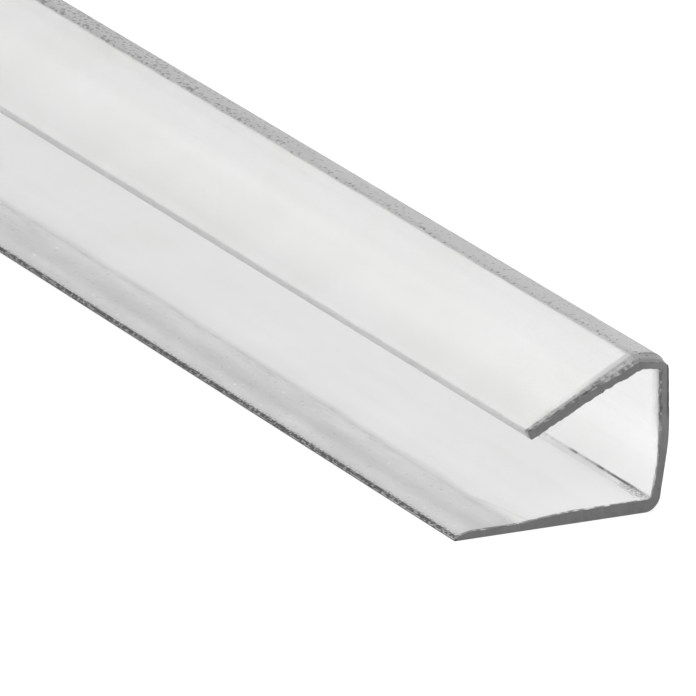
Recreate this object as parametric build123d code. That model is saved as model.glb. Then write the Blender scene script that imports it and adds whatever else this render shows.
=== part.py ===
from build123d import *
import math
import os

# Length of the stock, along X
LENGTH = 980.0

# Height of the slot at the web, for the edge of a 16 mm sheet
SLOT_HEIGHT = 16.4

# Reach of each leg, from the back of the web
LOWER_REACH = 29.2
UPPER_REACH = 19.4

# Web: widest at the knee, leaning in a little above it and more below it
WEB_WALL = 1.3
KNEE_HEIGHT = 9.4
KNEE_INNER_HEIGHT = 7.0
KNEE_RADIUS = 25.0
TOP_SETBACK = 0.15
HEEL_SETBACK = 1.5
HEEL_WALL = 1.2
HEEL_RADIUS = 2.2

# Top strip, rising from the web to the ridge, with the angle in degrees from level
TOP_WALL = 1.85
TOP_RISE = 8.0
TOP_CORNER_RADIUS = 2.2
RIDGE_SETBACK = 4.4
RIDGE_RADIUS = 2.0

# Upper leg, dropping from the ridge, with walls measured square to its outer face
UPPER_SLOPE = 27.7
ROOT_WALL = 2.1
HAUNCH_SETBACK = 9.8
HAUNCH_WALL = 1.5
HAUNCH_RADIUS = 30.0
TIP_WALL = 1.2
TIP_BEVEL = 0.35
TIP_RADIUS = 0.45

# Lower leg, thinning down a ramp to a lip with a tapered nose
LOWER_WALL = 1.65
RAMP_START = 13.4
RAMP_END = 20.9
RAMP_RADIUS = 20.0
LIP_WALL = 1.05
NOSE_WALL = 0.5
NOSE_TAPER = 2.2
TAPER_RADIUS = 5.0
NOSE_RADIUS = 0.2

# Inside corners of the slot
SLOT_RADIUS = 0.4


def meet(first, first_slope, second, second_slope):
    """The point where two lines cross, each given by a point on it and its slope."""
    gap = second[1] - first[1] + first_slope * first[0] - second_slope * second[0]
    y = gap / (first_slope - second_slope)
    return y, first[1] + first_slope * (y - first[0])


def steepness(first, second):
    """Slope of the line through two points."""
    return (second[1] - first[1]) / (second[0] - first[0])


# The section lies in Y and Z, centred on its width, with the underside at zero
back = LOWER_REACH / 2
nose = -LOWER_REACH / 2

# Web, from the heel up to the top corner
heel = (back - HEEL_SETBACK, 0)
knee = (back, KNEE_HEIGHT)
lean = HEEL_SETBACK / KNEE_HEIGHT
heel_inner = (heel[0] + lean * LOWER_WALL - HEEL_WALL, LOWER_WALL)
knee_inner = (back - WEB_WALL, KNEE_INNER_HEIGHT)
top_inner = (back - TOP_SETBACK - WEB_WALL, LOWER_WALL + SLOT_HEIGHT)

# Top strip, from the top corner to the ridge
rise = -math.tan(math.radians(TOP_RISE))
top_lift = TOP_WALL / math.cos(math.radians(TOP_RISE))
top_corner_y = back - TOP_SETBACK
top_corner = (top_corner_y, top_inner[1] + top_lift + rise * (top_corner_y - top_inner[0]))
ridge_y = back - RIDGE_SETBACK
ridge = (ridge_y, top_corner[1] + rise * (ridge_y - top_corner_y))

# Upper leg: its outer face, and the underside set in from it by the walls
slope = math.tan(math.radians(UPPER_SLOPE))
inward = (math.sin(math.radians(UPPER_SLOPE)), -math.cos(math.radians(UPPER_SLOPE)))


def under(setback, wall):
    """The point on the underside below a place on the outer face of the upper leg."""
    y = back - setback
    return y + wall * inward[0], ridge[1] + slope * (y - ridge_y) + wall * inward[1]


tip_y = back - UPPER_REACH
tip = (tip_y, ridge[1] + slope * (tip_y - ridge_y))
tip_inner = under(UPPER_REACH - TIP_BEVEL, TIP_WALL)
haunch = under(HAUNCH_SETBACK, HAUNCH_WALL)
root = under(RIDGE_SETBACK, ROOT_WALL)
ridge_inner = meet(haunch, steepness(haunch, root), top_inner, rise)

# The closed outline, each corner with the radius it is rounded to
corners = [
    ((nose, 0), NOSE_RADIUS),
    (heel, HEEL_RADIUS),
    (knee, KNEE_RADIUS),
    (top_corner, TOP_CORNER_RADIUS),
    (ridge, RIDGE_RADIUS),
    (tip, TIP_RADIUS),
    (tip_inner, TIP_RADIUS),
    (haunch, HAUNCH_RADIUS),
    (ridge_inner, SLOT_RADIUS),
    (top_inner, SLOT_RADIUS),
    (knee_inner, KNEE_RADIUS),
    (heel_inner, SLOT_RADIUS),
    ((back - RAMP_START, LOWER_WALL), RAMP_RADIUS),
    ((back - RAMP_END, LIP_WALL), RAMP_RADIUS),
    ((nose + NOSE_TAPER, LIP_WALL), TAPER_RADIUS),
    ((nose, NOSE_WALL), NOSE_RADIUS),
]

# The profile: the section carried along X, half the length each way
with BuildPart() as profile:
    with BuildSketch(Plane.YZ):
        with BuildLine():
            FilletPolyline(
                *[point for point, radius in corners],
                radius=[radius for point, radius in corners],
                close=True,
            )
        make_face()
    extrude(amount=LENGTH / 2, both=True)

profile.part.label = "u_profile"
os.makedirs("parts", exist_ok=True)
export_step(profile.part, "parts/u_profile.step")
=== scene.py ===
# %% [markdown]
# # A clear polycarbonate U-profile
# The object is one length of extruded trim that is pushed over the cut edge of a roofing sheet. It is
# clear, a little hazy, and sawn off at both ends. The CAD part gives its exact place and size. Here the
# same section is swept again with finer curves, the sawn ends get their worn and chipped edges, and the
# plastic gets a finish that lets light through and shows where the die and the saw have been.

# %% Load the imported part
import math

import bpy
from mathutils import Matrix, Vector


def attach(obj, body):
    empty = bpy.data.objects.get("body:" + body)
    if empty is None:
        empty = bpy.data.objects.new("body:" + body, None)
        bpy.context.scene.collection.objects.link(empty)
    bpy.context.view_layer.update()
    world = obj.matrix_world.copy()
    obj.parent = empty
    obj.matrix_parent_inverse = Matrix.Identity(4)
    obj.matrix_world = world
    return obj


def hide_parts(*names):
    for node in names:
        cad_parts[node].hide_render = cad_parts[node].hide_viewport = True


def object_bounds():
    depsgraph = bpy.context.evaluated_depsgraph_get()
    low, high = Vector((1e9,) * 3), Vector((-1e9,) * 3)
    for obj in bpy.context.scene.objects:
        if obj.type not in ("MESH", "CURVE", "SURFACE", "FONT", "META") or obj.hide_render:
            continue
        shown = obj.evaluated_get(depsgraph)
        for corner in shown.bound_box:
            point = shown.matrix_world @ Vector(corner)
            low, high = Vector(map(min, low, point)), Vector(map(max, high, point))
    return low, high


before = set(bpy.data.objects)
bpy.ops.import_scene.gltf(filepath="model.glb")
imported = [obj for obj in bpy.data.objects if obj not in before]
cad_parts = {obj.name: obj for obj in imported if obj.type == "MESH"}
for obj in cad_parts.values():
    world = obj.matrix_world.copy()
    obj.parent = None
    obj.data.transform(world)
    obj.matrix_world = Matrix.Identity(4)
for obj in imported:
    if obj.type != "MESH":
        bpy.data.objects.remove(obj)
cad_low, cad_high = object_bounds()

MM = 0.001
LENGTH = cad_high.x - cad_low.x
HALF_LENGTH_MM = LENGTH / 2 / MM
print("CAD box in mm:", [round(v / MM, 2) for v in (*cad_low, *cad_high)])

# %% [markdown]
# ## Small helpers for node trees
# Geometry and shader trees are both made of nodes and links. One helper makes a node, sets its options
# and fills its inputs, where an input may be a plain value or another node's output. The others do small
# sums with Math nodes, and name or set the inputs of a tree. They keep the trees below short enough to
# read.


# %% Node helpers
def place(tree, kind, inputs=None, **options):
    """A new node, with its options set and its inputs given values or linked to other sockets."""
    node = tree.nodes.new(kind)
    for name, value in options.items():
        setattr(node, name, value)
    for name, value in (inputs or {}).items():
        if isinstance(value, bpy.types.NodeSocket):
            tree.links.new(value, node.inputs[name])
        else:
            node.inputs[name].default_value = value
    return node


def sum_of(tree, operation, first, second=0.0, third=0.0):
    """The output of one Math node."""
    return place(tree, "ShaderNodeMath", {0: first, 1: second, 2: third}, operation=operation).outputs[0]


def product(tree, first, *others):
    """Several values multiplied together."""
    for other in others:
        first = sum_of(tree, "MULTIPLY", first, other)
    return first


def scaled(tree, value, by, plus):
    """A value times a factor, with something added."""
    return sum_of(tree, "MULTIPLY_ADD", value, by, plus)


def part_of(tree, value, start, end):
    """How far a value has come from start to end, from 0 to 1."""
    inputs = {"Value": value, "From Min": start, "From Max": end}
    return place(tree, "ShaderNodeMapRange", inputs).outputs[0]


def name_sockets(tree, kinds, in_out):
    """Adds named inputs or outputs to a tree, each with its kind of socket."""
    for name, kind in kinds.items():
        tree.interface.new_socket(name, in_out=in_out, socket_type="NodeSocket" + kind)


def set_inputs(modifier, values):
    """Sets a modifier's inputs by the identifiers that their names stand for."""
    for item in modifier.node_group.interface.items_tree:
        if item.in_out == "INPUT" and item.name in values:
            modifier[item.identifier] = values[item.name]


print("helpers ready:", [helper.__name__ for helper in (place, sum_of, product, scaled, part_of)])

# %% [markdown]
# ## The section
# The trim is an unequal U, and the CAD solid already has it, cut square at both ends. So the outline
# isn't drawn again. A modeller would select the rim of the end face and copy it. The tree does the same:
# it takes the solid, keeps the faces that look along the length, and turns the rim round them into a
# curve, laid flat. Taken from the solid, the section follows whatever size the part is built to.

# %% Tree: take the outline from the end of the solid
sweep = bpy.data.node_groups.new("sweep the section", "GeometryNodeTree")
name_sockets(sweep, {
    "Solid": "Object",
    "Length": "Float",
    "Step": "Float",
    "Rings": "Int",
    "Die Depth": "Float",
    "Die Scale": "Float",
    "Chip Depth": "Float",
    "Chip Run": "Float",
    "Chip Scale": "Float",
    "Rim Width": "Float",
    "Rim Run": "Float",
    "Seed": "Float",
    "Plastic": "Material",
    "Rough Edge": "Material",
}, "INPUT")
name_sockets(sweep, {"Profile": "Geometry"}, "OUTPUT")
given = place(sweep, "NodeGroupInput").outputs

MERGE_GAP = 0.001 * MM
SQUARE_ON = 0.98
FACES_AT_INNER_EDGE = 2.0
solid = place(sweep, "GeometryNodeObjectInfo", {"Object": given["Solid"]}).outputs["Geometry"]
solid = place(sweep, "GeometryNodeMergeByDistance", {"Geometry": solid, "Distance": MERGE_GAP}).outputs[0]
normal = place(sweep, "GeometryNodeInputNormal").outputs["True Normal"]
facing = place(sweep, "ShaderNodeSeparateXYZ", {0: normal}).outputs[0]
end_face = place(
    sweep,
    "GeometryNodeSeparateGeometry",
    {"Geometry": solid, "Selection": sum_of(sweep, "GREATER_THAN", facing, SQUARE_ON)},
    domain="FACE",
).outputs["Selection"]
neighbours = place(sweep, "GeometryNodeInputMeshEdgeNeighbors").outputs[0]
rim = sum_of(sweep, "LESS_THAN", neighbours, FACES_AT_INNER_EDGE)
outline = place(sweep, "GeometryNodeMeshToCurve", {"Mesh": end_face, "Selection": rim}).outputs[0]
here = place(sweep, "GeometryNodeInputPosition").outputs[0]
along, across, height = place(sweep, "ShaderNodeSeparateXYZ", {0: here}).outputs
flat = place(sweep, "ShaderNodeCombineXYZ", {0: across, 1: height}).outputs[0]
outline = place(sweep, "GeometryNodeSetPosition", {"Geometry": outline, "Position": flat}).outputs[0]
print("outline from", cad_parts["u_profile"].name + ":", len(sweep.nodes), "nodes so far")

# %% [markdown]
# ## The way round, and the divisions
# The outline has to run anticlockwise for the swept faces to point outwards. Which way it runs depends on
# the mesh it came from, so its area is added up from the cross products of its points, and a negative sum
# turns it round. Its long runs are then divided into short steps, because the marks and chips that follow
# need points to move.

# %% Tree: turn the outline the right way and divide its runs
following = place(sweep, "GeometryNodeOffsetPointInCurve", {"Offset": 1}).outputs["Point Index"]
there = place(
    sweep, "GeometryNodeFieldAtIndex", {"Index": following, "Value": here}, data_type="FLOAT_VECTOR"
).outputs[0]
turn = place(sweep, "ShaderNodeVectorMath", {0: here, 1: there}, operation="CROSS_PRODUCT").outputs[0]
area = place(
    sweep,
    "GeometryNodeAttributeStatistic",
    {"Geometry": outline, "Attribute": place(sweep, "ShaderNodeSeparateXYZ", {0: turn}).outputs[2]},
).outputs["Sum"]
clockwise = sum_of(sweep, "LESS_THAN", area, 0.0)
outline = place(sweep, "GeometryNodeReverseCurve", {"Curve": outline, "Selection": clockwise}).outputs[0]
gap = place(sweep, "ShaderNodeVectorMath", {0: here, 1: there}, operation="DISTANCE").outputs["Value"]
cuts = sum_of(sweep, "FLOOR", sum_of(sweep, "DIVIDE", gap, given["Step"]))
divided = place(sweep, "GeometryNodeSubdivideCurve", {"Curve": outline, "Cuts": cuts}).outputs[0]
print("turning and dividing:", len(sweep.nodes), "nodes so far")

# %% [markdown]
# ## The tip of the upper leg
# In the photograph the tip of the sloping leg is a little longer and squarer than on the solid, so it
# shows as a broader line along the piece. A modeller would pull the lower edge of the tip out by hand.
# Here the points near the tip slide down the leg, the deeper ones further, by a third of a millimetre at
# most.

# %% Tree: square up the tip of the upper leg
LEG_ANGLE = math.radians(27.7)
TIP_FROM_NOSE, TIP_HEIGHT, TIP_DEPTH = 9.8 * MM, 12.46 * MM, 1.36 * MM
TIP_LONGER, TIP_SQUARER = 0.1 * MM, 0.23 * MM
UPPER_LEG = (8.0 * MM, 9.0 * MM)
tip_across = cad_low.y + TIP_FROM_NOSE
TIP_BEND = (tip_across + 1.8 * MM, tip_across + 1.1 * MM)
# On the flat outline, X holds the place across and Y the height
flat_across, flat_up = along, across
outer_up = sum_of(sweep, "SUBTRACT", flat_across, tip_across)
outer_up = scaled(sweep, outer_up, by=math.tan(LEG_ANGLE), plus=TIP_HEIGHT)
deep = part_of(sweep, sum_of(sweep, "SUBTRACT", outer_up, flat_up), start=0.0, end=TIP_DEPTH)
reach = scaled(sweep, deep, by=TIP_SQUARER, plus=TIP_LONGER)
reach = product(sweep, reach, part_of(sweep, flat_across, *TIP_BEND), part_of(sweep, flat_up, *UPPER_LEG))
down_leg = (-math.cos(LEG_ANGLE), -math.sin(LEG_ANGLE), 0)
reach = place(sweep, "ShaderNodeVectorMath", {0: down_leg, "Scale": reach}, operation="SCALE").outputs[0]
divided = place(sweep, "GeometryNodeSetPosition", {"Geometry": divided, "Offset": reach}).outputs[0]
print("lower edge of the tip out by", round((TIP_LONGER + TIP_SQUARER) / MM, 2), "mm")

# %% [markdown]
# ## The sweep
# An extruder pushes the plastic through a die, so the piece is one section carried along a line. Curve to
# Mesh does what the die does, and keeps every size as a named input. The points of the outline are moved
# by a hair, as the marks of a die do, and they keep the way out of the plastic for later. The rings along
# the length crowd together near the two ends, where the detail is.

# %% Tree: keep the way out of the plastic, and mark the faces
tangent = place(sweep, "GeometryNodeInputTangent").outputs[0]
way_out = place(
    sweep, "ShaderNodeVectorMath", {0: tangent, 1: (0, 0, 1)}, operation="CROSS_PRODUCT"
).outputs[0]
marked = place(
    sweep,
    "GeometryNodeStoreNamedAttribute",
    {"Geometry": divided, "Name": "way_out", "Value": way_out},
    data_type="FLOAT_VECTOR",
    domain="POINT",
).outputs[0]
die = place(
    sweep,
    "ShaderNodeTexNoise",
    {"Vector": here, "W": given["Seed"], "Scale": given["Die Scale"], "Detail": 1.0},
    noise_dimensions="4D",
).outputs[0]
die = product(sweep, sum_of(sweep, "SUBTRACT", die, 0.5), given["Die Depth"])
die = place(sweep, "ShaderNodeVectorMath", {0: way_out, "Scale": die}, operation="SCALE").outputs[0]
marked = place(sweep, "GeometryNodeSetPosition", {"Geometry": marked, "Offset": die}).outputs[0]
print("marking the faces:", len(sweep.nodes), "nodes so far")

# %% Tree: the line with its crowded rings, and the sweep
CROWDING = 3.0
half = product(sweep, given["Length"], 0.5)
line = place(sweep, "GeometryNodeCurvePrimitiveLine", {"Start": (-1, 0, 0), "End": (1, 0, 0)}).outputs[0]
line = place(sweep, "GeometryNodeResampleCurve", {"Curve": line, "Count": given["Rings"]}).outputs[0]
inner = sum_of(sweep, "SUBTRACT", 1.0, sum_of(sweep, "ABSOLUTE", along))
outer = sum_of(sweep, "SUBTRACT", 1.0, sum_of(sweep, "POWER", inner, CROWDING))
crowded = product(sweep, sum_of(sweep, "SIGN", along), outer, half)
crowded = place(sweep, "ShaderNodeCombineXYZ", {0: crowded}).outputs[0]
line = place(sweep, "GeometryNodeSetPosition", {"Geometry": line, "Position": crowded}).outputs[0]
line = place(sweep, "GeometryNodeSetCurveNormal", {"Curve": line}, mode="Z_UP").outputs[0]
line = place(sweep, "GeometryNodeSetCurveTilt", {"Curve": line, "Tilt": math.pi}).outputs[0]
swept = place(
    sweep, "GeometryNodeCurveToMesh", {"Curve": line, "Profile Curve": marked, "Fill Caps": True}
).outputs[0]
print("sweeping:", len(sweep.nodes), "nodes so far")

# %% [markdown]
# ## The sawn ends
# A saw leaves the end flat, but not its edges. They are a little ragged, most of all on the upper leg,
# where there is also a fine burr. The outer edge of that leg, the top and the inside of the web are worn
# to a narrow slope, as when a piece has been dragged or stood on end. It could be sculpted. Here the last
# rings are pulled inwards, against the direction that was kept on the outline: a noise gives the chips,
# and the place on the section gives the wear. The flat faces then stay inside the worn edge, as they do
# on a real cut.

# %% Tree: chip the edges
CHIP_NOISE, CHIP_POWER = (0.33, 0.68), 1.3
UPPER_HALF, LOWER_HALF = (9.0 * MM, 11.0 * MM), (4.0 * MM, 3.0 * MM)
HEEL_ZONE = (6.0 * MM, 9.0 * MM)
FACES_UP, FACES_DOWN = (0.3, 0.9), (-0.3, -0.9)
FACES_BACK, FACES_MOUTH = (0.3, 0.9), (-0.6, -1.0)
LOWER_SHARE, BURR, CLEANER = 0.4, 0.25, 0.85
way = place(
    sweep, "GeometryNodeInputNamedAttribute", {"Name": "way_out"}, data_type="FLOAT_VECTOR"
).outputs[0]
way_across, way_up, _ = place(sweep, "ShaderNodeSeparateXYZ", {0: way}).outputs
to_end = sum_of(sweep, "SUBTRACT", half, sum_of(sweep, "ABSOLUTE", along))
on_top = part_of(sweep, height, *UPPER_HALF)
low_down = part_of(sweep, height, *LOWER_HALF)

ragged = place(
    sweep,
    "ShaderNodeTexNoise",
    {"Vector": here, "W": given["Seed"], "Scale": given["Chip Scale"], "Detail": 4.0, "Roughness": 0.65},
    noise_dimensions="4D",
).outputs[0]
ragged = sum_of(sweep, "POWER", part_of(sweep, ragged, *CHIP_NOISE), CHIP_POWER)
ragged = product(sweep, ragged, scaled(sweep, on_top, by=1.0 - LOWER_SHARE, plus=LOWER_SHARE))
ragged = scaled(sweep, on_top, by=-BURR, plus=ragged)
below = product(sweep, part_of(sweep, way_up, *FACES_DOWN), low_down)
at_heel = product(sweep, part_of(sweep, across, *HEEL_ZONE), low_down)
at_back = part_of(sweep, way_across, *FACES_BACK)
clean = sum_of(sweep, "MAXIMUM", below, sum_of(sweep, "MAXIMUM", at_heel, at_back))
ragged = product(sweep, ragged, scaled(sweep, clean, by=-CLEANER, plus=1.0))
chips = product(sweep, ragged, given["Chip Depth"], part_of(sweep, to_end, given["Chip Run"], 0.0))
print("chipping:", len(sweep.nodes), "nodes so far")

# %% Tree: wear the edges, and move them
TIP_WEAR, TIP_SHARE = (-4.5 * MM, -2.0 * MM), 0.25
TOP_WEAR = (2.0 * MM, 9.0 * MM)
WEB_WEAR, WEB_SHARE, WEB_RUN = (8.5 * MM, 12.5 * MM), 0.35, 0.65
outside = product(sweep, part_of(sweep, across, *TIP_WEAR), TIP_SHARE)
outside = scaled(sweep, part_of(sweep, across, *TOP_WEAR), by=1.0 - TIP_SHARE, plus=outside)
outside = product(sweep, outside, part_of(sweep, way_up, *FACES_UP), on_top)
outside = product(sweep, outside, part_of(sweep, to_end, given["Rim Run"], 0.0))
inside = product(sweep, part_of(sweep, height, *WEB_WEAR), part_of(sweep, way_across, *FACES_MOUTH))
short_run = product(sweep, given["Rim Run"], WEB_RUN)
inside = product(sweep, inside, part_of(sweep, to_end, short_run, 0.0), WEB_SHARE)
worn = product(sweep, sum_of(sweep, "MAXIMUM", outside, inside), given["Rim Width"])

inwards = product(sweep, sum_of(sweep, "ADD", chips, worn), -1.0)
out_of_plastic = place(sweep, "ShaderNodeCombineXYZ", {1: way_across, 2: way_up}).outputs[0]
bitten = place(
    sweep, "ShaderNodeVectorMath", {0: out_of_plastic, "Scale": inwards}, operation="SCALE"
).outputs[0]
chipped = place(sweep, "GeometryNodeSetPosition", {"Geometry": swept, "Offset": bitten}).outputs[0]
print("wearing:", len(sweep.nodes), "nodes so far")

# %% [markdown]
# ## Shading, and where each finish goes
# The faces along the length are smooth, and the sawn ends are flat. There are two finishes: rough edge
# for the sawn faces and the trimmed nose of the lip, and clear plastic for all the rest. The tree picks
# them by direction and place, so no face has to be chosen by hand.

# %% Tree: shade, and give the finishes
NOSE_BAND = 0.3 * MM
sawn = sum_of(sweep, "GREATER_THAN", sum_of(sweep, "ABSOLUTE", facing), SQUARE_ON)
nose = sum_of(sweep, "LESS_THAN", across, cad_low.y + NOSE_BAND)
smooth = place(sweep, "GeometryNodeSetShadeSmooth", {"Geometry": chipped}, domain="FACE").outputs[0]
smooth = place(
    sweep,
    "GeometryNodeSetShadeSmooth",
    {"Geometry": smooth, "Selection": sawn, "Shade Smooth": False},
    domain="FACE",
).outputs[0]
whole = place(sweep, "GeometryNodeRealizeInstances", {0: smooth}).outputs[0]
whole = place(
    sweep, "GeometryNodeSetMaterial", {"Geometry": whole, "Material": given["Plastic"]}
).outputs[0]
bladed = sum_of(sweep, "MAXIMUM", sawn, nose)
whole = place(
    sweep,
    "GeometryNodeSetMaterial",
    {"Geometry": whole, "Selection": bladed, "Material": given["Rough Edge"]},
).outputs[0]
place(sweep, "NodeGroupOutput", {0: whole})
print("sweep tree:", len(sweep.nodes), "nodes")

# %% [markdown]
# ## Marks that the finishes share
# The die, the saw and handling leave three kinds of marks. A soft band picks out a zone by its place on
# the section. Flecks are the pits and specks where a noise rises above a level. Drawn lines are a noise
# stretched along the length, as a die leaves them. Each is made once as a node group, and a finish places
# it as often as it needs, with its own values.


# %% Shared groups: soft band, flecks, drawn lines
def soft_step(tree, value, at, blur):
    """Rises smoothly from 0 to 1 as a value passes a place."""
    low = sum_of(tree, "SUBTRACT", at, blur)
    high = sum_of(tree, "ADD", at, blur)
    inputs = {"Value": value, "From Min": low, "From Max": high}
    return place(tree, "ShaderNodeMapRange", inputs, interpolation_type="SMOOTHSTEP").outputs[0]


def noise(tree, spot, fineness, seed, detail=1.0):
    """A noise from 0 to 1 over a place, with a seed of its own."""
    inputs = {"Vector": spot, "W": seed, "Scale": fineness, "Detail": detail, "Roughness": 0.55}
    return place(tree, "ShaderNodeTexNoise", inputs, noise_dimensions="4D").outputs[0]


def stretched(tree, spot, along):
    """A place squeezed along the length, so that marks made on it come out long."""
    return place(tree, "ShaderNodeMapping", {"Vector": spot, "Scale": (along, 1, 1)}).outputs[0]


def new_group(name, inputs, output):
    """A shader node group with named inputs and one output, and its input sockets."""
    group = bpy.data.node_groups.new(name, "ShaderNodeTree")
    name_sockets(group, inputs, "INPUT")
    name_sockets(group, {output: "Float"}, "OUTPUT")
    return group, place(group, "NodeGroupInput").outputs


FLECK_BLUR = 0.03
LINE_STRETCH = 0.012
band_inputs = {"Value": "Float", "From": "Float", "To": "Float", "Blur": "Float"}
soft_band, given = new_group("soft band", band_inputs, "Mask")
begins = soft_step(soft_band, given["Value"], given["From"], given["Blur"])
ends = soft_step(soft_band, given["Value"], given["To"], given["Blur"])
place(soft_band, "NodeGroupOutput", {0: sum_of(soft_band, "SUBTRACT", begins, ends)})

fleck_inputs = {"Spot": "Vector", "Fineness": "Float", "Level": "Float", "Seed": "Float"}
flecks, given = new_group("flecks", fleck_inputs, "Mask")
grain = noise(flecks, given["Spot"], given["Fineness"], given["Seed"])
place(flecks, "NodeGroupOutput", {0: soft_step(flecks, grain, given["Level"], FLECK_BLUR)})

line_inputs = {"Spot": "Vector", "Fineness": "Float", "Seed": "Float"}
drawn_lines, given = new_group("drawn lines", line_inputs, "Line")
drawn = stretched(drawn_lines, given["Spot"], along=LINE_STRETCH)
place(drawn_lines, "NodeGroupOutput", {0: noise(drawn_lines, drawn, given["Fineness"], given["Seed"])})
print("shared groups:", [group.name for group in (soft_band, flecks, drawn_lines)])


# %% Helpers for the finishes
def new_finish(name):
    """An empty material, its tree, and the place on the object in mm, whole and in its three parts."""
    finish = bpy.data.materials.new(name)
    finish.use_nodes = True
    tree = finish.node_tree
    tree.nodes.clear()
    spot = place(tree, "ShaderNodeTexCoord").outputs["Object"]
    spot = place(tree, "ShaderNodeVectorMath", {0: spot, "Scale": 1 / MM}, operation="SCALE").outputs[0]
    return finish, tree, spot, place(tree, "ShaderNodeSeparateXYZ", {0: spot}).outputs


def mark(tree, group, **inputs):
    """The output of a shared group placed in a finish."""
    return place(tree, "ShaderNodeGroup", inputs, node_tree=group).outputs[0]


def opposite(tree, mask):
    """A mask turned round: 1 where it was 0, and 0 where it was 1."""
    return sum_of(tree, "SUBTRACT", 1.0, mask)


def centred(tree, value):
    """A noise moved to lie round 0."""
    return sum_of(tree, "SUBTRACT", value, 0.5)


def toned(tree, value, mask, tone):
    """A value multiplied by a tone where a mask is 1, and left alone where it is 0."""
    return product(tree, value, scaled(tree, mask, by=tone - 1.0, plus=1.0))


def fade(tree, value, stops):
    """A tone read off a list of places and tones, eased from one to the next."""
    first, last = stops[0][0], stops[-1][0]
    ramp = place(tree, "ShaderNodeValToRGB", {0: part_of(tree, value, first, last)})
    ramp.color_ramp.interpolation = "EASE"
    elements = ramp.color_ramp.elements
    anywhere = 0.5
    while len(elements) < len(stops):
        elements.new(anywhere)
    for element, (at, tone) in zip(elements, stops):
        element.position = (at - first) / (last - first)
        element.color = (tone, tone, tone, 1)
    return ramp.outputs[0]


print("finish helpers:", [helper.__name__ for helper in (new_finish, mark, opposite, centred, toned, fade)])

# %% [markdown]
# ## Clear plastic
# Clear polycarbonate bends light more than window glass does, and here it has a slight haze. Light passes
# through the faces, so they look pale on a pale floor. The die has left the strip along the top and the
# thin lip a little rougher. These two and, a little, the ramp before the lip look grey, and that grey is
# painted shade in the tone. A Principled shader with transmission does the bending, and a tone over the
# section says how much light each zone lets through; where the tone is below 1, it is painted shade.
# Places are in millimetres across the section, up it, or from the nearer cut, so each zone stays where
# the shape has it, whatever the length.

# %% Clear plastic: how clear each zone is, with painted shade in the greyer zones
plastic, tree, spot, (along, across, height) = new_finish("clear_polycarbonate")
# Tones below 1 are painted shade across the section, for light that each zone's thickness and slope keep
# back.
LOWER_TONES = [
    (-14.6, 0.41),
    (-12.8, 0.49),
    (-10.0, 0.47),
    (-7.6, 0.56),
    (-6.5, 0.54),
    (-5.2, 0.79),
    (-2.0, 0.87),
    (3.0, 0.93),
    (6.0, 0.99),
    (9.0, 1.0),
    (14.6, 1.0),
]
UPPER_TONES = [
    (-4.8, 0.98),
    (-4.0, 0.90),
    (-3.2, 0.89),
    (1.5, 0.96),
    (7.5, 1.0),
    (8.5, 1.0),
    (8.9, 0.93),
    (9.3, 0.91),
    (9.6, 0.85),
    (10.2, 1.0),
    (14.6, 1.0),
]
upper = soft_step(tree, height, at=7.0, blur=2.0)
lower = opposite(tree, upper)
drift = noise(tree, stretched(tree, spot, along=0.15), fineness=0.4, seed=37.0)
drift = scaled(tree, centred(tree, drift), by=1.4, plus=across)
lower_tone = fade(tree, drift, LOWER_TONES)
clear = sum_of(tree, "SUBTRACT", fade(tree, across, UPPER_TONES), lower_tone)
clear = scaled(tree, clear, by=upper, plus=lower_tone)
print("zones across the legs:", len(LOWER_TONES) + len(UPPER_TONES))

# %% Clear plastic: the dull strip on top, greyed with painted shade and pitted along the ridge
STRIP_EDGE, STRIP_HEIGHT = 9.75, 19.0
MOST_PITS_AT = 190.0
waver = noise(tree, stretched(tree, spot, along=0.35), fineness=0.9, seed=13.0)
waver = scaled(tree, centred(tree, waver), by=0.5, plus=across)
strip = soft_step(tree, waver, at=STRIP_EDGE, blur=0.12)
strip = product(tree, strip, soft_step(tree, height, at=STRIP_HEIGHT, blur=0.25))
brow = mark(tree, soft_band, Value=across, From=9.6, To=10.4, Blur=0.3)
from_near_end = sum_of(tree, "SUBTRACT", HALF_LENGTH_MM, along)
crowd = sum_of(tree, "COSINE", product(tree, from_near_end, math.pi / MOST_PITS_AT))
crowd = sum_of(tree, "POWER", scaled(tree, crowd, by=-0.5, plus=0.5), 2.0)
level = scaled(tree, brow, by=-0.035, plus=0.66)
level = scaled(tree, crowd, by=-0.10, plus=level)
pitted = stretched(tree, spot, along=0.8)
pits = mark(tree, flecks, Spot=pitted, Fineness=2.1, Level=level, Seed=11.0)
# The strip's tone of 0.60 is painted shade.
clear = toned(tree, clear, strip, tone=0.60)
clear = toned(tree, clear, product(tree, strip, pits), tone=0.3)
print("strip over", STRIP_EDGE, "to", round(cad_high.y / MM, 2), "mm across")

# %% Clear plastic: the lip, with specks, scuffs and patches
LIP_EDGE = -6.4
lip = product(tree, opposite(tree, soft_step(tree, across, at=LIP_EDGE, blur=0.7)), lower)
grain = noise(tree, spot, fineness=1.6, seed=23.0)
specks = soft_step(tree, grain, at=0.73, blur=FLECK_BLUR)
scuffs = opposite(tree, soft_step(tree, grain, at=0.31, blur=FLECK_BLUR))
drawn = stretched(tree, spot, along=0.25)
patches = centred(tree, noise(tree, drawn, fineness=0.5, seed=31.0, detail=2.0))
clear = toned(tree, clear, product(tree, lip, specks), tone=1.5)
clear = toned(tree, clear, product(tree, lip, scuffs), tone=0.7)
clear = product(tree, clear, scaled(tree, product(tree, lip, patches), by=0.45, plus=1.0))
print("lip from the nose to", LIP_EDGE, "mm across")
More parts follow.
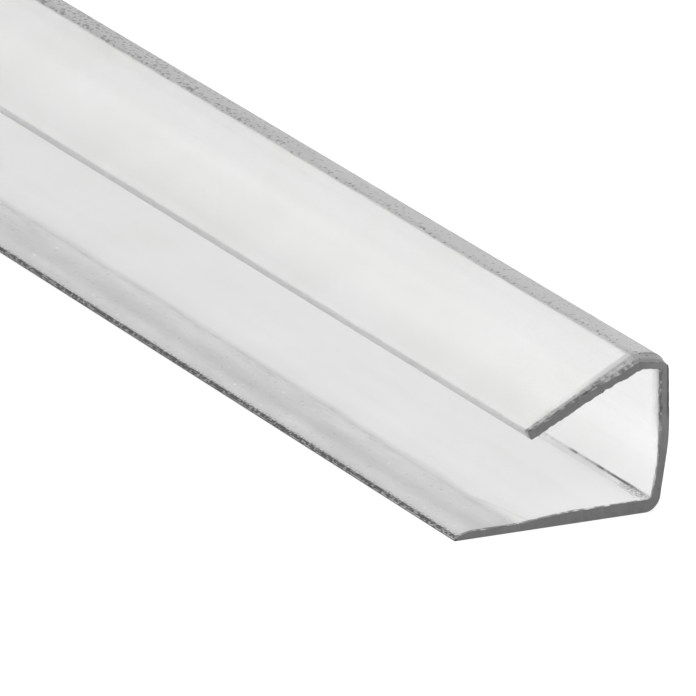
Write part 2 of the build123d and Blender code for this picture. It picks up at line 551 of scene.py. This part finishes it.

# %% Clear plastic: painted shade along the crease at the foot of the ramp, which leaves it near the cut
CREASE_LEAVES_AT, CREASE_VEER = 16.0, -2.0
from_cut = sum_of(tree, "SUBTRACT", HALF_LENGTH_MM, sum_of(tree, "ABSOLUTE", along))
near_cut = part_of(tree, from_cut, start=CREASE_LEAVES_AT, end=0.0)
veer = scaled(tree, near_cut, by=CREASE_VEER, plus=drift)
crease = mark(tree, soft_band, Value=veer, From=-6.65, To=-6.45, Blur=0.12)
faint = part_of(tree, noise(tree, spot, fineness=0.15, seed=32.0), start=0.35, end=0.6)
crease = product(tree, crease, sum_of(tree, "MAXIMUM", near_cut, faint), lower)
smudges = mark(tree, flecks, Spot=drawn, Fineness=1.3, Level=0.58, Seed=39.0)
foot = mark(tree, soft_band, Value=drift, From=-7.6, To=-6.2, Blur=0.3)
# Painted shade along the crease.
clear = toned(tree, clear, crease, tone=0.8)
clear = toned(tree, clear, product(tree, smudges, foot, lower), tone=0.88)
print("crease leaves the ramp", CREASE_LEAVES_AT, "mm from the cut")

# %% Clear plastic: the rubbed tip, and the bristles along the nose
TIP_EDGE, NOSE_EDGE, BRISTLES_END = -4.3, -14.3, -13.8
rubs = mark(tree, flecks, Spot=pitted, Fineness=1.5, Level=0.56, Seed=38.0)
tip = opposite(tree, soft_step(tree, across, at=TIP_EDGE, blur=0.1))
clear = toned(tree, clear, product(tree, rubs, tip, upper), tone=0.94)
thinning = scaled(tree, sum_of(tree, "SUBTRACT", across, NOSE_EDGE), by=0.5, plus=0.40)
bristles = mark(tree, flecks, Spot=spot, Fineness=3.0, Level=thinning, Seed=33.0)
fringe = opposite(tree, soft_step(tree, across, at=BRISTLES_END, blur=0.2))
clear = toned(tree, clear, product(tree, fringe, bristles), tone=0.2)
print("bristles over", round(BRISTLES_END - NOSE_EDGE, 2), "mm behind the nose")

# %% Clear plastic: the broken dark line in the heel, painted shade in the inner corner
HEEL_TONES = [
    (0.0, 0.70),
    (3.5, 0.55),
    (5.5, 0.15),
    (6.8, 0.0),
    (11.2, 0.0),
    (12.0, 0.12),
    (14.4, 0.12),
    (15.5, 0.40),
    (19.5, 0.45),
    (20.2, 0.12),
    (21.8, 0.12),
    (22.6, 0.65),
    (30.0, 0.70),
]
DARKEST = 0.03
in_corner = mark(tree, soft_band, Value=across, From=11.95, To=12.29, Blur=0.1)
heel = product(tree, in_corner, mark(tree, soft_band, Value=height, From=1.5, To=1.9, Blur=0.1))
breaks = noise(tree, spot, fineness=0.9, seed=34.0)
# A broken line of painted shade in the inner corner of the heel.
heel_shade_tone = scaled(tree, centred(tree, breaks), by=1.2, plus=fade(tree, from_cut, HEEL_TONES))
heel_shade_tone = sum_of(tree, "MINIMUM", sum_of(tree, "MAXIMUM", heel_shade_tone, DARKEST), 1.0)
clear = product(tree, clear, scaled(tree, heel, by=sum_of(tree, "SUBTRACT", heel_shade_tone, 1.0), plus=1.0))
print("heel line drawn in", len(HEEL_TONES), "tones from the cut")

# %% Clear plastic: the specks and the shade under the line
HEEL_LINE = 12.1
level = scaled(tree, sum_of(tree, "SUBTRACT", across, HEEL_LINE), by=-0.12, plus=0.46)
smear = mark(tree, flecks, Spot=spot, Fineness=3.0, Level=level, Seed=35.0)
under_line = mark(tree, soft_band, Value=across, From=10.4, To=12.2, Blur=0.1)
by_cut = mark(tree, soft_band, Value=from_cut, From=0.2, To=7.5, Blur=1.5)
clear = toned(tree, clear, product(tree, smear, under_line, by_cut, lower), tone=0.25)
shade = mark(tree, soft_band, Value=across, From=11.4, To=12.3, Blur=0.4)
past_specks = mark(tree, soft_band, Value=from_cut, From=12.0, To=26.0, Blur=3.0)
clear = toned(tree, clear, product(tree, shade, past_specks, lower), tone=0.88)
print("specks under the line at", HEEL_LINE, "mm across")

# %% Clear plastic: the edge of the cut, nicked and frosted, with painted shade along the chips
ARRIS_RUN, RIM_RUN, WEB_SHORTER = 0.35, 0.9, 0.35
chipped_edge_shade = opposite(tree, soft_step(tree, from_cut, at=ARRIS_RUN, blur=0.1))
nick_shade = mark(tree, flecks, Spot=spot, Fineness=1.4, Level=0.44, Seed=31.0)
# Painted shade along the chipped edge of the cut, darkest in the nicks.
clear = toned(tree, clear, chipped_edge_shade, tone=0.65)
clear = toned(tree, clear, product(tree, chipped_edge_shade, nick_shade, opposite(tree, strip)), tone=0.2)
frost = opposite(tree, soft_step(tree, from_cut, at=RIM_RUN, blur=0.15))
on_web = soft_step(tree, across, at=12.0, blur=0.5)
frosted = scaled(tree, on_web, by=WEB_SHORTER, plus=from_cut)
frosted = opposite(tree, soft_step(tree, frosted, at=RIM_RUN, blur=0.15))
frosted = product(tree, frosted, sum_of(tree, "SUBTRACT", upper, strip))
grain = noise(tree, spot, fineness=1.6, seed=36.0)
dim = part_of(tree, grain, start=0.2, end=0.45)
spots = soft_step(tree, grain, at=0.6, blur=FLECK_BLUR)
clear = toned(tree, clear, product(tree, frosted, dim), tone=0.5)
clear = toned(tree, clear, product(tree, frosted, spots), tone=0.3)
clear = toned(tree, clear, product(tree, frost, strip), tone=0.65)
brink = mark(tree, soft_band, Value=from_cut, From=0.85, To=1.1, Blur=0.1)
brink = product(tree, brink, part_of(tree, breaks, start=0.4, end=0.65), strip)
clear = toned(tree, clear, brink, tone=0.25)
print("frosted rim", RIM_RUN, "mm wide")

# %% Clear plastic: clouds, drawn lines and the shader
IOR = 1.585
clouds = noise(tree, spot, fineness=0.06, seed=41.0, detail=2.0)
lines = mark(tree, drawn_lines, Spot=spot, Fineness=0.55, Seed=43.0)
fine_lines = mark(tree, drawn_lines, Spot=spot, Fineness=3.0, Seed=47.0)
clear = product(tree, clear, scaled(tree, clouds, by=0.13, plus=0.945))
contrast = scaled(tree, lip, by=0.25, plus=0.08)
clear = product(tree, clear, scaled(tree, centred(tree, lines), by=contrast, plus=1.0))
dull = scaled(tree, strip, by=0.25, plus=scaled(tree, lip, by=0.1, plus=0.16))
dull = scaled(tree, fine_lines, by=0.08, plus=dull)
warm = product(tree, clear, scaled(tree, clouds, by=0.016, plus=0.987))
colour = place(tree, "ShaderNodeCombineColor", {0: clear, 1: clear, 2: warm})
ripple = place(tree, "ShaderNodeBump", {"Strength": 0.2, "Distance": 0.02 * MM, "Height": fine_lines})
shader = place(
    tree,
    "ShaderNodeBsdfPrincipled",
    {
        "Base Color": colour.outputs[0],
        "Roughness": dull,
        "IOR": IOR,
        "Transmission Weight": 0.8,
        "Normal": ripple.outputs[0],
    },
)
depth = place(tree, "ShaderNodeVolumeAbsorption", {"Color": (0.5, 0.5, 0.5, 1), "Density": 8.0})
place(tree, "ShaderNodeOutputMaterial", {"Surface": shader.outputs[0], "Volume": depth.outputs[0]})
print("clear plastic:", len(tree.nodes), "nodes")

# %% [markdown]
# ## Rough edge
# Where a blade has been, the plastic is no longer clear. The sawn ends look a flat dark grey, because
# hardly any light comes down the whole length behind them, and the trimmed nose of the lip shows as a
# dark broken line. Deep rough glass would do this slowly and with much noise. A matt grey with the
# strokes of the saw, small pits and a streaked nose looks the same from every side.

# %% Rough edge: strokes and pits of the saw, and the back lighter towards its top
STROKE_TILT, STROKE_STRETCH = 0.35, (1, 3.0, 0.15)
rough_edge, tree, spot, (along, across, height) = new_finish("rough_edge")
strokes = place(
    tree, "ShaderNodeMapping", {"Vector": spot, "Rotation": (STROKE_TILT, 0, 0), "Scale": STROKE_STRETCH}
).outputs[0]
strokes = noise(tree, strokes, fineness=1.0, seed=61.0)
mottle = noise(tree, spot, fineness=0.8, seed=67.0, detail=3.0)
grey = scaled(tree, mottle, by=0.06, plus=0.09)
grey = product(tree, grey, scaled(tree, strokes, by=0.3, plus=0.85))
pits = mark(tree, flecks, Spot=spot, Fineness=2.0, Level=0.68, Seed=71.0)
grey = toned(tree, grey, pits, tone=0.7)
high_back = soft_step(tree, across, at=11.5, blur=1.5)
high_back = product(tree, high_back, soft_step(tree, height, at=9.0, blur=3.0))
grey = toned(tree, grey, high_back, tone=1.2)
# Painted shadow of the burr: a dark rim along the outer edge of the sawn web.
rim = soft_step(tree, across, at=14.22, blur=0.06)
rim = product(tree, rim, mark(tree, soft_band, Value=height, From=12.0, To=19.2, Blur=1.0))
grey = toned(tree, grey, rim, tone=0.45)
print("saw marks:", len(tree.nodes), "nodes so far")

# %% Rough edge: the nose, darkened with painted shade, with its light dashes
LIGHTER_NEAR_CUT = (60.0, 4.0)
nose = opposite(tree, soft_step(tree, across, at=-14.2, blur=0.1))
dashes = stretched(tree, spot, along=0.65)
streak = mark(tree, soft_band, Value=height, From=0.22, To=0.36, Blur=0.04)
streak = product(tree, streak, mark(tree, flecks, Spot=dashes, Fineness=2.0, Level=0.46, Seed=73.0))
crest = mark(tree, soft_band, Value=height, From=0.36, To=0.7, Blur=0.06)
crest = product(tree, crest, mark(tree, flecks, Spot=dashes, Fineness=3.0, Level=0.55, Seed=79.0))
from_cut = sum_of(tree, "SUBTRACT", HALF_LENGTH_MM, sum_of(tree, "ABSOLUTE", along))
near_cut = part_of(tree, from_cut, *LIGHTER_NEAR_CUT)
streak = product(tree, streak, scaled(tree, near_cut, by=0.9, plus=0.9))
# The nose's dark grey is painted shade over its real trimmed face; a painted contact shadow darkens its
# foot further.
nose_foot_shadow = opposite(tree, soft_step(tree, height, at=0.16, blur=0.05))
grey = toned(tree, grey, nose, tone=0.45)
grey = toned(tree, grey, product(tree, nose, nose_foot_shadow), tone=0.6)
grey = toned(tree, grey, product(tree, nose, sum_of(tree, "MAXIMUM", streak, crest)), tone=4.5)
print("nose:", len(tree.nodes), "nodes so far")

# %% Rough edge: the shader
kerf = sum_of(tree, "ADD", strokes, product(tree, mottle, 0.5))
kerf = place(tree, "ShaderNodeBump", {"Strength": 0.4, "Distance": 0.05 * MM, "Height": kerf})
shader = place(
    tree,
    "ShaderNodeBsdfPrincipled",
    {
        "Base Color": grey,
        "Roughness": scaled(tree, mottle, by=0.2, plus=0.5),
        "IOR": IOR,
        "Specular IOR Level": 0.25,
        "Normal": kerf.outputs[0],
    },
)
place(tree, "ShaderNodeOutputMaterial", {"Surface": shader.outputs[0]})
print("rough edge:", len(tree.nodes), "nodes")

# %% [markdown]
# ## Make the profile
# With the tree and both finishes ready, an empty mesh gets the tree as a modifier. Its inputs are set by
# identifier before it is first evaluated, and the result is turned into a plain mesh, because a piece
# that is handed over has no live modifier. The piece stands for the CAD solid and rides on the one body
# that the part has.

# %% Evaluate the sweep
carrier = bpy.data.objects.new("carrier", bpy.data.meshes.new("carrier"))
bpy.context.scene.collection.objects.link(carrier)
maker = carrier.modifiers.new("sweep", "NODES")
maker.node_group = sweep
set_inputs(maker, {
    "Solid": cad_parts["u_profile"],
    "Length": LENGTH,
    "Step": 0.25 * MM,
    "Rings": 49,
    "Die Depth": 0.012 * MM,
    "Die Scale": 1000.0,
    "Chip Depth": 0.42 * MM,
    "Chip Run": ARRIS_RUN * MM,
    "Chip Scale": 700.0,
    "Rim Width": 0.85 * MM,
    "Rim Run": RIM_RUN * MM,
    "Seed": 3.0,
    "Plastic": plastic,
    "Rough Edge": rough_edge,
})
depsgraph = bpy.context.evaluated_depsgraph_get()
profile_mesh = bpy.data.meshes.new_from_object(carrier.evaluated_get(depsgraph))
carrier.modifiers.remove(maker)
bpy.data.objects.remove(carrier)
profile = bpy.data.objects.new("profile", profile_mesh)
bpy.context.scene.collection.objects.link(profile)
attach(profile, "root")
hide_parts("u_profile")
print("profile faces:", len(profile_mesh.polygons), [m.name for m in profile_mesh.materials])

# %% [markdown]
# ## Camera
# The photograph is taken from far away with a long lens, from the open side and a little above, with the
# near end at the right. The camera is built from two angles, the focal length and the scale in pixels,
# and from the place in the picture where the near heel of the trim sits.

# %% Camera
AZIMUTH, ELEVATION = math.radians(64.19), math.radians(17.41)
FOCAL_PX, PX_PER_M, IMAGE_PX = 14734.0, 8200.0, 696
NEAR_HEEL_PX = (668.7, 509.2)
SENSOR_WIDTH, CLIP_END = 36.0, 200.0
back = Vector((
    math.sin(AZIMUTH) * math.cos(ELEVATION),
    -math.cos(AZIMUTH) * math.cos(ELEVATION),
    math.sin(ELEVATION),
))
right = Vector((0, 0, 1)).cross(back).normalized()
up = back.cross(right)
near_heel = Vector((cad_high.x, cad_high.y, 0))
camera_data = bpy.data.cameras.new("camera")
camera_data.sensor_width = SENSOR_WIDTH
camera_data.lens = FOCAL_PX / IMAGE_PX * SENSOR_WIDTH
camera_data.clip_end = CLIP_END
camera = bpy.data.objects.new("camera", camera_data)
camera.location = (
    near_heel
    + back * (FOCAL_PX / PX_PER_M)
    - right * ((NEAR_HEEL_PX[0] - IMAGE_PX / 2) / PX_PER_M)
    + up * ((NEAR_HEEL_PX[1] - IMAGE_PX / 2) / PX_PER_M)
)
camera.rotation_mode = "QUATERNION"
camera.rotation_quaternion = (-back).to_track_quat("-Z", "Y")
bpy.context.scene.collection.objects.link(camera)
bpy.context.scene.camera = camera
print("camera at", [round(v, 3) for v in camera.location], "lens", round(camera_data.lens, 1), "mm")

# %% [markdown]
# ## Floor and light
# Clear things are shown on a lit white surface, because they have no colour of their own: the plastic
# shows what is behind it and under it. The floor glows evenly, as a light table does, and the same white
# comes from all round. A weak softbox hangs above the near end, on the open side, and adds a little light
# there. The floor cuts into the underside by a hair, so that it is seen through the plastic without a film
# of air.

# %% Floor
FLOOR_REACH, FLOOR_HEIGHT = 60.0, 0.02 * MM
FLOOR_GREY, FLOOR_GLOW = 0.5, 0.55
floor_data = bpy.data.meshes.new("floor")
floor_data.from_pydata(
    [(x * FLOOR_REACH, y * FLOOR_REACH, FLOOR_HEIGHT) for x, y in ((-1, -1), (1, -1), (1, 1), (-1, 1))],
    [],
    [(0, 1, 2, 3)],
)
floor = bpy.data.objects.new("floor", floor_data)
bpy.context.scene.collection.objects.link(floor)
floor_finish, tree, _, _ = new_finish("white_floor")
shader = place(
    tree,
    "ShaderNodeBsdfPrincipled",
    {
        "Base Color": (FLOOR_GREY, FLOOR_GREY, FLOOR_GREY, 1),
        "Roughness": 0.9,
        "Emission Color": (1, 1, 1, 1),
        "Emission Strength": FLOOR_GLOW,
    },
)
place(tree, "ShaderNodeOutputMaterial", {"Surface": shader.outputs[0]})
floor_data.materials.append(floor_finish)
print("floor", 2 * FLOOR_REACH, "m wide")

# %% Light
SKY_STRENGTH = 1.04
SOFTBOX_SIZE, SOFTBOX_WATTS = 0.3, 0.45
SOFTBOX_PLACE = (cad_high.x + 0.11, -0.12, 0.32)
world = bpy.data.worlds.new("studio")
world.use_nodes = True
sky = world.node_tree.nodes["Background"].inputs
sky["Color"].default_value = (1, 1, 1, 1)
sky["Strength"].default_value = SKY_STRENGTH
bpy.context.scene.world = world
softbox_data = bpy.data.lights.new("softbox", "AREA")
softbox_data.shape = "SQUARE"
softbox_data.size = SOFTBOX_SIZE
softbox_data.energy = SOFTBOX_WATTS
softbox = bpy.data.objects.new("softbox", softbox_data)
softbox.location = SOFTBOX_PLACE
bpy.context.scene.collection.objects.link(softbox)
bpy.context.scene.view_settings.view_transform = "Standard"
print("sky strength", SKY_STRENGTH, "and a softbox of", SOFTBOX_WATTS, "W")
